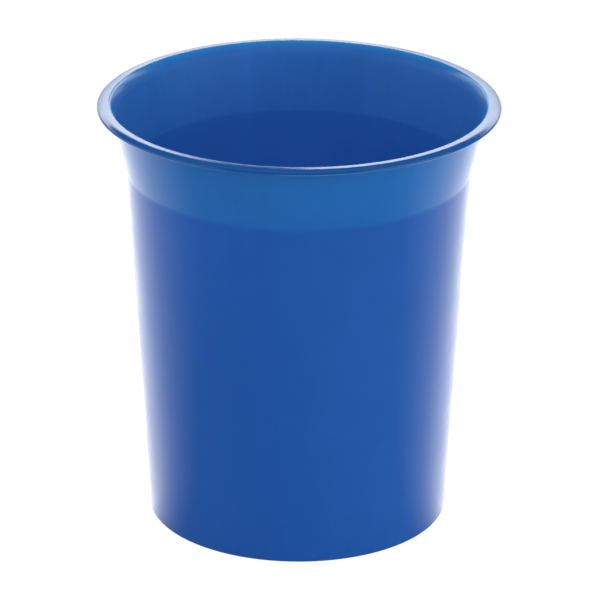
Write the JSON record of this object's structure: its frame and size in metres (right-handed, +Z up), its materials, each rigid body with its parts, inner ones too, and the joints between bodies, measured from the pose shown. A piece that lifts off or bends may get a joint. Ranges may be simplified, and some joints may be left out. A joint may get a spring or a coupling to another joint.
{
  "type": "wastebasket",
  "caption": "Round tapered office wastebasket in blue moulded plastic, open at the top, with a flared collar under a flat turned-down rim and a recessed base on a foot ring.",
  "frame": {"origin": "centre of the foot ring on the floor, at the lowest point of the bin", "axes": "+Z up along the bin's axis of revolution; X and Y are any two level directions, because the bin is the same all round"},
  "size_m": [0.31, 0.31, 0.335],
  "materials": {
    "blue_plastic": "semi-gloss moulded polypropylene"
  },
  "bodies": {
    "root": {"rim_lip": "blue_plastic", "collar": "blue_plastic", "side_wall": "blue_plastic", "foot_ring": "blue_plastic", "base_panel": "blue_plastic"}
  },
  "joints": []
}
